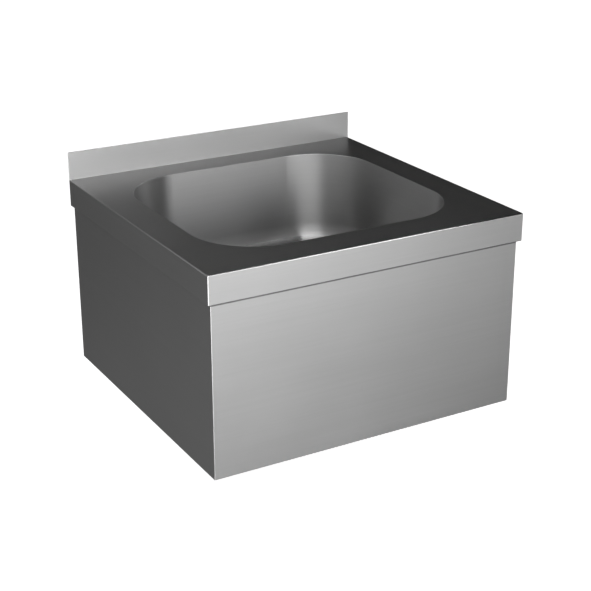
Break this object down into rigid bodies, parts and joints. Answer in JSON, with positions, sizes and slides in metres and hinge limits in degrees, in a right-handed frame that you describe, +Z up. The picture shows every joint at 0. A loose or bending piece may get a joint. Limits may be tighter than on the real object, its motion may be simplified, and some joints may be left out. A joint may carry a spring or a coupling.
{
  "type": "laundry sink",
  "caption": "Wall-hung steel laundry sink with a rounded bowl under a flat deck, a low upstand at the wall, a folded skirt and a plain box apron; basket strainer in the drain.",
  "frame": {"origin": "the middle of the four wall screws, on the wall's plane", "axes": "+X across the sink to the right as seen from the front, +Y into the wall, +Z up; the front faces -Y"},
  "size_m": [0.6, 0.57, 0.407],
  "materials": {
    "brushed_sheet": "long-grain brushed stainless steel",
    "drawn_sheet": "satin stainless steel, drawn and lightly brushed",
    "mill_sheet": "plain mill-finish steel sheet",
    "galvanised": "zinc plated",
    "sound_pad": "matt bitumen pad",
    "fastener": "bright stainless fasteners",
    "brass": "plain brass",
    "polished": "polished stainless steel",
    "rubber": "matt black rubber",
    "fibre": "pressed fibre"
  },
  "bodies": {
    "sink": {"sink_top": "brushed_sheet", "bowl": "drawn_sheet", "front_panel": "brushed_sheet", "left_panel": "brushed_sheet", "right_panel": "brushed_sheet", "front_channel": "mill_sheet", "rear_channel": "mill_sheet", "left_channel": "mill_sheet", "right_channel": "mill_sheet", "left_bracket": "galvanised", "right_bracket": "galvanised", "rear_rail": "mill_sheet", "base_pads": "sound_pad", "wall_pads": "sound_pad", "panel_rivets": "fastener", "panel_studs": "fastener", "panel_nuts": "fastener", "hanging_studs": "fastener", "hanging_washers": "fastener", "hanging_nuts": "fastener", "earth_lug": "mill_sheet", "earth_bolt": "brass", "earth_nut": "brass", "strainer_body": "polished", "flange_gasket": "rubber", "rubber_washer": "rubber", "friction_ring": "fibre", "lock_nut": "galvanised"},
    "basket": {"basket_cup": "polished", "basket_stopper": "rubber", "basket_post": "polished", "basket_nut": "fastener", "stopper_clip": "fastener"}
  },
  "joints": [
    {"name": "basket_lift", "type": "slide", "parent": "sink", "child": "basket", "axis": [0, 0, 1], "range_m": [0, 0.012]}
  ]
}
